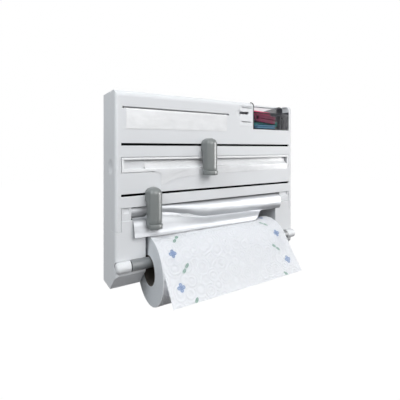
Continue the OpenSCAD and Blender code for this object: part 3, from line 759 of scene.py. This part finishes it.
class CasingSettings(bpy.types.PropertyGroup):
    """Colours and edges of the moulded parts."""

    casing_colour: colour_setting("Casing", "Colour of the housing and cover", (0.71, 0.722, 0.74))
    trim_colour: colour_setting("Trim", "Colour of the window frame and bag pocket", (0.82, 0.826, 0.838))
    rail_colour: colour_setting("Rails", "Colour of the rails behind the slots", (0.003, 0.003, 0.0035))
    edge_round: length_setting("Edge rounding", "Radius of the moulded edges", 0.5 * MM)


class KnobSettings(bpy.types.PropertyGroup):
    """Sizes and colour of the cutter knobs."""

    knob_colour: colour_setting("Knobs", "Colour of the cutter knobs", (0.19, 0.203, 0.2))
    knob_width: length_setting("Width", "Width of a knob", 20 * MM)
    knob_front: length_setting("Front", "Place of a knob's front along Y", -88 * MM)
    knob_back: length_setting("Back", "Place of a knob's back along Y", -70 * MM)
    knob_head: length_setting("Head", "Place of the back of a knob's head along Y", -64.4 * MM)
    knob_corner: length_setting("Corners", "Radius of the front corners", 1.6 * MM)
    knob_bow: length_setting("Bow", "How far the sides of the front fall back", 4.7 * MM)
    knob_rise: length_setting("Rise", "Height of a knob above its slot", 11 * MM)
    knob_drop: length_setting("Drop", "Reach of a knob below its slot", 49 * MM)
    dome_height: length_setting("Dome", "Height of the round crown", 10 * MM)
    lip_reach: length_setting("Lip", "How far the foot stands proud", 2 * MM)
    neck_end: length_setting("Neck end", "Place of the neck's inner end along Y", -56.7 * MM)


class SheetSettings(bpy.types.PropertyGroup):
    """Colours and creases of the bags, film and foil."""

    bag_colour: colour_setting("Bags", "Colour of the freezer bags", (0.94, 0.945, 0.955))
    film_colour: colour_setting("Film", "Colour of the cling film", (0.95, 0.958, 0.972))
    foil_colour: colour_setting("Foil", "Colour of the foil", (0.45, 0.462, 0.482))
    bag_crease: length_setting("Bag creases", "Depth of the bag's creases", 0.4 * MM)
    foil_crease: length_setting("Foil creases", "Depth of the foil's creases", 0.3 * MM)


class RollSettings(bpy.types.PropertyGroup):
    """Colours and emboss of the kitchen roll and its spindle."""

    paper_colour: colour_setting("Paper", "Colour of the kitchen paper", (0.9, 0.908, 0.926))
    print_blue: colour_setting("Blossoms", "Colour of the printed blossoms", (0.03, 0.17, 0.45))
    print_green: colour_setting("Leaves", "Colour of the printed leaves", (0.06, 0.28, 0.17))
    # Far darker than real grey-brown card: painted shade for the tubes' hollows.
    shaded_card_colour: colour_setting("Card", "Colour of the cardboard tubes", (0.1, 0.088, 0.076))
    spindle_colour: colour_setting("Spindle", "Colour of the spindle's tube", (0.2, 0.21, 0.215))
    cap_colour: colour_setting("Caps", "Colour of the spindle's caps", (0.7, 0.71, 0.725))
    emboss_cell: length_setting("Emboss cells", "Distance between the pressed cells", 17 * MM)
    emboss_ring: length_setting("Emboss rings", "Distance between the pressed rings", 3.8 * MM)
    emboss_depth: length_setting("Emboss depth", "Depth of the pressed pattern", 0.75 * MM)


class StageSettings(bpy.types.PropertyGroup):
    """Camera, floor and light."""

    camera_place: bpy.props.FloatVectorProperty(
        name="Camera", description="Place of the camera", subtype="TRANSLATION", unit="LENGTH",
        default=(-0.303, -0.4923, 0.045),
    )
    camera_turn: bpy.props.FloatProperty(
        name="Camera turn", description="Turn of the camera to the right", unit="ROTATION",
        default=radians(31.51),
    )
    camera_lens: bpy.props.FloatProperty(
        name="Lens", description="Focal length in millimetres", unit="CAMERA", default=27.36, min=1,
    )
    floor_height: length_setting("Floor", "Height of the floor", -0.62)
    key_power: power_setting("Key light", "Power of the light from the upper front", 37.6)
    fill_power: power_setting("Fill light", "Power of the light from the left", 10.6)
    strip_power: power_setting("Strip light", "Power of the tall light from the right", 26.0)
    sky_strength: share_setting("Sky", "Strength of the light from above and all round", 0.42)
    ground_strength: share_setting("Ground", "Strength of the light from below", 0.12)


class ROLLHOLDER_OT_casing(bpy.types.Operator):
    """Rounds the edges of the housing, cover, frame and plates, and finishes what is inside"""

    bl_idname = "rollholder.casing"
    bl_label = "Housing and cover"

    def execute(self, context):
        sizes = context.scene.roll_holder_casing
        colour, edge = sizes.casing_colour, sizes.edge_round
        casing = moulded_plastic("Casing plastic", colour, 0.56, 0.05, gloss=0.28)
        trim = moulded_plastic("White trim", sizes.trim_colour, 0.52, 0.03)
        rail = moulded_plastic("Black rail", sizes.rail_colour, 0.7, 0.05, gloss=0.1)
        plate = moulded_plastic("Plate plastic", tinted(colour, 1.07), 0.54, 0.04, gloss=0.28)
        for node, body, slot, radius, look in (
            ("front_cover", "cover", "casing", edge, casing),
            ("lower_front", "housing", "casing", edge, casing),
            ("rear_housing", "housing", "casing", edge, casing),
            ("window_frame", "cover", "white_trim", edge * 0.7, trim),
            ("tie_plate", "cover", "white_trim", edge * 0.7, plate),
        ):
            softened(node, node + "_moulding", radius, look, body)
        dress(casing, "film_trough", "foil_trough")
        dress(trim, "bag_pocket")
        dress(rail, "upper_rail", "lower_rail", "upper_shoe", "lower_shoe", "tube_bushes")
        return {"FINISHED"}


class ROLLHOLDER_OT_screws(bpy.types.Operator):
    """Puts cross-head screws in the back and finishes the pins, blades and rod"""

    bl_idname = "rollholder.screws"
    bl_label = "Screws and pins"

    def execute(self, context):
        steel = brushed_steel("Brushed steel", (0.58, 0.59, 0.61))
        dress(steel, "hinge_pins", "upper_blade", "lower_blade", "upper_screw", "lower_screw", "spindle_rod")
        low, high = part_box("assembly_screws")
        head, height = 4 * MM, 2.4 * MM
        seat = high.y - height
        across, up = high.x - head, (low.z + head, high.z - head)
        points = [(side * across, seat, z) for side in (-1, 1) for z in up]
        sizes = {
            "Head radius": head,
            "Head height": height,
            "Shank radius": 1.98 * MM,
            "Shank length": seat - low.y,
        }
        piece = grown("back_screws", points, [], screw_tree(steel, sizes), sizes)
        smooth(piece.data, 38.0)
        place_piece(piece, "housing", "assembly_screws")
        return {"FINISHED"}


class ROLLHOLDER_OT_knobs(bpy.types.Operator):
    """Lofts the two cutter knobs"""

    bl_idname = "rollholder.knobs"
    bl_label = "Cutter knobs"

    def execute(self, context):
        sizes = context.scene.roll_holder_knobs
        grey = moulded_plastic("Knob plastic", sizes.knob_colour, 0.3, 0.03)
        for name in ("upper", "lower"):
            low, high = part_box(name + "_knob")
            mesh = knob_mesh(name + "_grip", (low.x + high.x) / 2, high.z - sizes.knob_rise, sizes)
            grip = add_object(name + "_grip", mesh, grey)
            place_piece(grip, name + "_cutter", name + "_knob")
        return {"FINISHED"}


class ROLLHOLDER_OT_card(bpy.types.Operator):
    """Finishes the rolls' cardboard tubes"""

    bl_idname = "rollholder.card"
    bl_label = "Cardboard tubes"

    def execute(self, context):
        # The card colour is darkened to paint the shade inside the core holes.
        card = pressed_card("Card", context.scene.roll_holder_roll.shaded_card_colour, 34 * MM)
        dress(card, "film_core", "foil_core", "roll_core")
        return {"FINISHED"}


class ROLLHOLDER_OT_bags(bpy.types.Operator):
    """Makes the bag that hangs out of the slot and the stack behind it"""

    bl_idname = "rollholder.bags"
    bl_label = "Freezer bags"

    def execute(self, context):
        sizes = context.scene.roll_holder_sheets
        film = clear_film("Bag film", sizes.bag_colour, 0.7, 0.96, (30.0, 60.0, 70.0))
        low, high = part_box("hanging_bag")
        width = high.x - low.x
        over_lip = ((-58.2, 103.9), (-62, 103.9), (-63.8, 103.6), (-64.4, 102.6))
        down = ((-64.5, 98), (-64.5, 88), (-64.4, 73.8))
        rows = 36
        path, length = curve_through(yz(*over_lip, *down), rows)
        past_lip, cover_face = 0.34, -64.3 * MM

        def hang(s, t):
            free = eased((t - 0.3) * 3)
            at = Vector((s * width * 26, t * 1.4, 3.1))
            crease = noise.fractal(at, 0.8, 2.1, 4) + 0.6 * abs(noise.noise(at * 2.3))
            lift = free * sizes.bag_crease * clamped(crease)
            hem = free * t * (1.5 * s + 0.5 * noise.noise(Vector((s * 9, 0.0, 8.2)))) * MM
            spot = on_path(path, t * rows) + Vector((low.x + s * width, -lift, hem))
            if t > past_lip:
                spot.y = min(spot.y, cover_face)
            return spot, (s * width, t * length)

        bag = thin_sheet("loose_bag", "hanging_bag", 180, rows, hang, 0.12 * MM, film, "cover")
        low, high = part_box("bag_pack")
        count = 12
        spacing = (high.y - low.y) / count
        point = ((low.x + high.x) / 2, low.y + spacing / 2, (low.z + high.z) / 2)
        stack = {
            "Count": count,
            "Spacing": spacing,
            "Width": high.x - low.x - 1.6 * MM,
            "Height": high.z - low.z - 0.8 * MM,
        }
        piece = grown("bag_stack", [point], [], leaf_tree(film, stack), stack)
        place_piece(piece, "cover", "bag_pack")
        return {"FINISHED"}


class ROLLHOLDER_OT_film(bpy.types.Operator):
    """Makes the film roll and the film that hangs over the tear bar"""

    bl_idname = "rollholder.film"
    bl_label = "Cling film"

    def execute(self, context):
        sizes = context.scene.roll_holder_sheets
        loose = clear_film("Loose film", sizes.film_colour, 0.5, 0.9, (18.0, 60.0, 60.0))
        wound = moulded_plastic("Wound film", tinted(sizes.film_colour, 0.93), 0.16, 0.02)

        def tight(x, angle):
            y, z = sin(angle), cos(angle)
            band = noise.noise(Vector((x * 12, y * 1.5, z * 1.5)))
            ridge = abs(noise.noise(Vector((x * 3, y * 9, z * 9 + 4))))
            return -0.12 * MM + 0.1 * MM * band - 0.25 * MM * ridge

        looks = (wound, wound)
        wound_roll("wound_film", "film_roll", SHEET_CORE, (120, 96), tight, looks, "film")
        low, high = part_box("film_sheet")
        wide = high.x - low.x
        over_bar = ((-57.6, 25.5), (-58.6, 20.5), (-61.2, 16.6), (-63.8, 15.6), (-64.7, 14.4), (-64.8, 11))
        lowest = -12.5
        steps = 64
        path, length = curve_through(yz(*over_bar, (-64.6, 6), (-64.5, 0), (-64.5, lowest)), steps)
        left_cut, climb, climb_reach, slant, mean_cut = -12.4, 13.7, 24 * MM, 3.2, 14 * MM
        deep, gathered = 0.5 * MM, 26 * MM
        past_bar, bar_foot, bar_face, frame_face = 0.5, 6 * MM, -64.6 * MM, -64.42 * MM

        def hang(s, t):
            x = low.x + s * wide
            cut = left_cut + climb * (1 - exp((low.x - x) / climb_reach)) + slant * s
            whole = length - (cut - lowest) * MM
            free = eased(t * 5 - 1.6)
            at = Vector((x * 16 + t * 2.0, t * 1.2 - x * 4, 5.5))
            crease = clamped(noise.fractal(at, 0.9, 2.0, 3), -0.5, 1.2)
            spot = on_path(path, t * whole / length * steps) + Vector((x, -free * deep * crease, 0.0))
            spot.x -= gathered * (1 - eased((t - 0.34) * 5)) * (1 - s) ** 6
            if t > past_bar:
                spot.y = min(spot.y, frame_face if spot.z < bar_foot else bar_face)
            return spot, (x - low.x, t * whole)

        sheet = thin_sheet("loose_film", "film_sheet", 150, 48, hang, 0.1 * MM, loose, "cover")
        return {"FINISHED"}


class ROLLHOLDER_OT_foil(bpy.types.Operator):
    """Makes the foil roll and the foil that bulges over the lip"""

    bl_idname = "rollholder.foil"
    bl_label = "Foil"

    def execute(self, context):
        sizes = context.scene.roll_holder_sheets
        foil = rolled_foil("Foil", sizes.foil_colour)

        dent = 0.25 * MM

        def dented(x, angle):
            at = Vector((x * 22, sin(angle) * 2.2, cos(angle) * 2.2))
            return -dent + dent * clamped(noise.fractal(at, 0.9, 2.0, 3))

        wound_roll("wound_foil", "foil_roll", SHEET_CORE, (150, 96), dented, (foil, foil), "foil")
        low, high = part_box("foil_sheet")
        wide = high.x - low.x
        rows = 72
        bare = folded(
            ((-59.8, -57.2), (-61.4, -58.6), (-63.6, -59.3)),
            ((-65.8, -60.6), (-68, -63.4), (-69.8, -67.6), (-71, -73), (-72, -78.6), (-73.4, -84)),
            rows,
        )[0]
        left, length = folded(
            ((-57.6, -41.4), (-60, -42.2), (-62, -44), (-62.9, -46.6), (-62.4, -49.4), (-61, -52)),
            ((-62, -56), (-64.8, -60.4), (-68.2, -66.4), (-71.8, -72), (-74.6, -76.4), (-76.2, -80.2),
             (-76.8, -84.4)),
            rows,
        )
        right = folded(
            ((-57, -42.6), (-61, -43.8), (-64.8, -46.6), (-67.4, -50.6), (-68.8, -55.6), (-69, -60.4),
             (-68.2, -65), (-66.4, -68.8), (-64.9, -71.2)),
            ((-67.4, -73.4), (-71.8, -75.6), (-75, -78), (-76.4, -81), (-76.8, -84.4)),
            rows,
        )[0]
        bulge_foot, tear_from, tear_reach = -71 * MM, 66 * MM, 34 * MM
        soon, quick, steady = 0.36, 0.74, 0.26
        foot = next(k for k in range(rows) if right[k].z < bulge_foot) / rows
        knob_left, knob_right = (corner.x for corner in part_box("lower_knob"))

        def bulge(s, t):
            x = low.x + s * wide
            torn = eased((x - tear_from) / tear_reach)
            steps = t * (1 - torn * (1 - foot)) * rows
            behind = eased((x - knob_left) / (knob_right - knob_left))
            along = max(0.0, (x - knob_right) / (high.x - knob_right))
            along = quick * eased(along / soon) + steady * along
            spots = [on_path(path, steps) for path in (bare, left, right)]
            spot = spots[0].lerp(spots[1], behind).lerp(spots[2], along)
            at = Vector((x * 14 + t * 3, t * 3 - x * 7, 2.2))
            free = eased(t * 6)
            lift = sizes.foil_crease * free * clamped(noise.fractal(at, 1.0, 2.0, 3))
            spot = spot + Vector((x, 0.3 * MM + lift * 0.8, lift * 0.5))
            return spot, (s * wide, t * length)

        sheet = thin_sheet("loose_foil", "foil_sheet", 190, rows, bulge, 0.1 * MM, foil, "housing")
        return {"FINISHED"}


class ROLLHOLDER_OT_tray(bpy.types.Operator):
    """Makes the smoked clip tray, its bag clips and the wire tie"""

    bl_idname = "rollholder.tray"
    bl_label = "Clip tray"

    def execute(self, context):
        low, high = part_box("clip_tray")
        rim, floor, end = high.z - 17 * MM, low.z + 2 * MM, high.x - 16 * MM
        smoke, clear = (0.03, 0.032, 0.04), 0.75
        smoked = smoked_plastic("Smoked plastic", smoke, clear, rim, floor, end)
        softened("clip_tray", "smoked_tray", 0.35 * MM, smoked, "tray")
        colours = {
            "red": (0.62, 0.06, 0.15),
            "plum": (0.48, 0.03, 0.13),
            "teal": (0.1, 0.66, 0.58),
            "blue": (0.22, 0.6, 0.92),
            "black": (0.012, 0.012, 0.014),
        }
        for name, colour in colours.items():
            plastic = moulded_plastic("Clip " + name, colour, 0.25, 0.02, drift=0.08, gloss=0.15)
            softened(name + "_clip", name + "_bag_clip", 0.6 * MM, plastic, "tray", 3)
        coat = moulded_plastic("Coated wire", (0.03, 0.03, 0.034), 0.35, 0.02)
        low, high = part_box("wire_tie")
        radius, bend, inset, steps = 0.9 * MM, 6 * MM, 0.2 * MM, 12
        x, y, top = high.x - radius, (low.y + high.y) / 2, high.z - radius
        points = [(x, y, low.z + inset), (x, y, (low.z + top - bend) / 2)]
        for k in range(steps + 1):
            a = pi / 2 * k / steps
            points.append((x - bend + bend * cos(a), y, top - bend + bend * sin(a)))
        points.append((low.x + inset, y, top))
        edges = [(i, i + 1) for i in range(len(points) - 1)]
        sizes = {"Wire radius": radius}
        wire = grown("wire_hook", points, edges, wire_tree(coat, sizes), sizes)
        smooth(wire.data, 60.0)
        place_piece(wire, "tray", "wire_tie")
        return {"FINISHED"}


class ROLLHOLDER_OT_paper(bpy.types.Operator):
    """Makes the kitchen roll, its loose end and the spindle"""

    bl_idname = "rollholder.paper"
    bl_label = "Kitchen roll and spindle"

    def execute(self, context):
        sizes = context.scene.roll_holder_roll
        axis, outer, ends = roll_size("paper_roll")
        wide = ends[1] - ends[0]
        inks = (sizes.print_blue, sizes.print_green, wide)
        # The roll's copy of the paper is 4 % lighter than the loose sheet's: painted light, which brightens
        # the roll where the hanging sheet shades it.
        paper = printed_paper("Lightened wound paper", tinted(sizes.paper_colour, 1.04), *inks)
        loose = printed_paper("Loose paper", sizes.paper_colour, *inks, through=0.46)
        # The cut ends take a darker, bluer copy of the paper's colour: painted shade.
        edge = roll_edge("Shaded paper edges", (0.73, 0.755, 0.785), *axis, 1.0 * MM)
        cell, ring, depth = sizes.emboss_cell, sizes.emboss_ring, sizes.emboss_depth
        gap = 0.1 * MM

        def pressed(x, angle):
            return -depth * (1 - embossed(x, angle * outer, cell, ring)) - gap

        grid, looks = (250, 290), (paper, edge)
        wound_roll("wound_paper", "paper_roll", PAPER_CORE, grid, pressed, looks, "kitchen_roll")
        reach = outer + 0.3 * MM
        leaves, start, free = radians(32), radians(120), 62 * MM
        wrap = (start - leaves) * reach
        length = wrap + free
        off = Vector((0.0, -sin(leaves), -cos(leaves)))
        away = Vector((0.0, -cos(leaves), sin(leaves)))
        centre = Vector((0.0, *axis))
        x0, x1 = (corner.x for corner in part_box("paper_sheet"))
        curl_out, curl_wave = 3.4, 0.35

        def peel(s, t):
            run = t * length
            if run < wrap:
                angle = start - run / reach
                out = Vector((0.0, -cos(angle), sin(angle)))
                spot = centre + out * reach
            else:
                out = away
                gone = (run - wrap) / free
                wave = sin(s * 5.2 + 0.6) * 0.9 + 0.7 * sin(s * 11 + 2.0)
                curl = (curl_out + curl_wave * wave) * gone ** 2 * MM
                spot = centre + away * (reach + curl) + off * (run - wrap)
            ridge = embossed(s * wide, length - run, cell, ring)
            spot = spot + out * (gap + depth * ridge) + Vector((x0 + s * (x1 - x0), 0.0, 0.0))
            return spot, (s * wide, length - run), ridge

        sheet = thin_sheet("loose_paper", "paper_sheet", 280, 164, peel, 0.18 * MM, loose, "spindle")
        grey = moulded_plastic("Spindle plastic", sizes.spindle_colour, 0.34, 0.03)
        white = moulded_plastic("Cap plastic", sizes.cap_colour, 0.58, 0.03)
        softened("spindle_tube", "grey_tube", 0.5 * MM, grey, "tube")
        for node in ("left_cap", "right_cap"):
            softened(node, node + "_moulding", 0.4 * MM, white, "spindle", 3)
        return {"FINISHED"}


def add_light(name, place, aim, size, power, colour=(1.0, 1.0, 1.0)):
    """A soft light with a width and a height."""
    lamp = bpy.data.lights.new(name, "AREA")
    lamp.shape = "ELLIPSE"
    lamp.size, lamp.size_y = size
    lamp.energy = power
    lamp.color = colour
    light = bpy.data.objects.new(name, lamp)
    bpy.context.scene.collection.objects.link(light)
    light.location = place
    light.rotation_euler = (Vector(aim) - Vector(place)).to_track_quat("-Z", "Y").to_euler()
    return light


def seen(tree):
    """1 for rays that show the background: seen straight, mirrored or through something clear."""
    path = tree.node("ShaderNodeLightPath")
    mirrored = path.out("Is Camera Ray").most(path.out("Is Glossy Ray"))
    return mirrored.most(path.out("Is Transmission Ray"))


def level_plane(name, left, right, near, far, height, look):
    corners = [(left, near, height), (right, near, height), (right, far, height), (left, far, height)]
    return add_object(name, mesh_from(name, corners, [], [(0, 1, 2, 3)]), look)


class ROLLHOLDER_OT_stage(bpy.types.Operator):
    """Sets the camera, the pale floor and soft light"""

    bl_idname = "rollholder.stage"
    bl_label = "Camera, floor and light"

    def execute(self, context):
        scene = context.scene
        sizes = scene.roll_holder_stage
        scene.view_settings.view_transform = "Standard"
        camera = bpy.data.objects.new("Camera", bpy.data.cameras.new("Camera"))
        scene.collection.objects.link(camera)
        camera.location = sizes.camera_place
        camera.rotation_euler = (pi / 2, 0.0, -sizes.camera_turn)
        camera.data.lens = sizes.camera_lens
        camera.data.sensor_width = 36.0
        camera.data.shift_x = 0.002
        camera.data.shift_y = -0.12875
        camera.data.clip_start = 0.01
        scene.camera = camera
        white = (1.0, 1.0, 1.0, 1.0)

        tree, place = new_material("Pale floor")
        mottle = tree.mix(tree.noise(place, 3.0), (0.1, 0.1, 0.105, 1.0), (0.12, 0.12, 0.125, 1.0))
        pale = tree.node("ShaderNodeBsdfDiffuse", {"Color": mottle})
        glow = tree.node("ShaderNodeEmission", {"Color": white, "Strength": 1.09})
        look = tree.finish(tree.node("ShaderNodeMixShader", {0: seen(tree) * 0.92, 1: pale, 2: glow}))
        reach = 6.0
        level_plane("Floor", -reach, reach, -reach, reach, sizes.floor_height, look)

        world = bpy.data.worlds.new("Studio")
        scene.world = world
        world.use_nodes = True
        world.node_tree.nodes.clear()
        tree = Tree(world.node_tree)
        _, _, height = tree.axes(tree.node("ShaderNodeTexCoord").out("Generated"))
        sky, ground = rgba((sizes.sky_strength,) * 3), rgba((sizes.ground_strength,) * 3)
        dome = tree.mix(height.below(0.0, 0.35), sky, ground)
        shown = {"Color": tree.mix(seen(tree), dome, white), "Strength": 1.0}
        background = tree.node("ShaderNodeBackground", shown)
        tree.node("ShaderNodeOutputWorld", {"Surface": background})

        cool = (0.91, 0.965, 1.0)
        add_light("Key light", (0.25, -2.06, 1.14), (0.0, 0.0, 0.0), (1.8, 1.8), sizes.key_power)
        add_light("Fill light", (-1.1, -0.45, 0.95), (-0.18, 0.0, 0.1), (0.8, 0.8), sizes.fill_power, cool)
        at, aim = (1.27, -0.84, 0.1), (0.0, -0.08, 0.0)
        strip = add_light("Strip light", at, aim, (0.46, 1.1), sizes.strip_power)
        strip.visible_diffuse = False

        tree, place = new_material("Dark card")
        _, depth, _ = tree.axes(place)
        shade = tree.mix(depth.below(-2.2, 0.8), (0.04, 0.04, 0.043, 1.0), (0.8, 0.8, 0.8, 1.0))
        look = tree.surface(Base_Color=shade, Roughness=0.9)
        left, right, near, far, above = -1.6, 2.4, -3.0, -0.1, 0.01
        card = level_plane("Dark card", left, right, near, far, sizes.floor_height + above, look)
        card.visible_camera = False
        card.visible_diffuse = False
        card.visible_shadow = False
        card.visible_transmission = False
        return {"FINISHED"}


class ROLLHOLDER_PT_panel(bpy.types.Panel):
    """Lists the steps that build the holder"""

    bl_idname = "ROLLHOLDER_PT_panel"
    bl_label = "Kitchen roll holder"
    bl_space_type = "VIEW_3D"
    bl_region_type = "UI"
    bl_category = "Roll holder"

    def draw(self, context):
        column = self.layout.column()
        for step in STEPS:
            column.operator(step.bl_idname)
        for group in GROUPS:
            settings = getattr(context.scene, group)
            box = self.layout.box()
            for name in settings.bl_rna.properties.keys():
                if name not in ("rna_type", "name"):
                    box.prop(settings, name)


STEPS = (
    ROLLHOLDER_OT_stage,
    ROLLHOLDER_OT_casing,
    ROLLHOLDER_OT_screws,
    ROLLHOLDER_OT_knobs,
    ROLLHOLDER_OT_card,
    ROLLHOLDER_OT_bags,
    ROLLHOLDER_OT_film,
    ROLLHOLDER_OT_foil,
    ROLLHOLDER_OT_tray,
    ROLLHOLDER_OT_paper,
)
GROUPS = {
    "roll_holder_casing": CasingSettings,
    "roll_holder_knobs": KnobSettings,
    "roll_holder_sheets": SheetSettings,
    "roll_holder_roll": RollSettings,
    "roll_holder_stage": StageSettings,
}
CLASSES = (*GROUPS.values(), *STEPS, ROLLHOLDER_PT_panel)


def register():
    for made in CLASSES:
        bpy.utils.register_class(made)
    for name, group in GROUPS.items():
        setattr(bpy.types.Scene, name, bpy.props.PointerProperty(type=group))


def unregister():
    for name in GROUPS:
        delattr(bpy.types.Scene, name)
    for made in reversed(CLASSES):
        bpy.utils.unregister_class(made)


def main():
    register()
    bpy.ops.rollholder.stage()
    bpy.ops.rollholder.casing()
    bpy.ops.rollholder.screws()
    bpy.ops.rollholder.knobs()
    bpy.ops.rollholder.card()
    bpy.ops.rollholder.bags()
    bpy.ops.rollholder.film()
    bpy.ops.rollholder.foil()
    bpy.ops.rollholder.tray()
    bpy.ops.rollholder.paper()


if __name__ == "__main__":
    main()
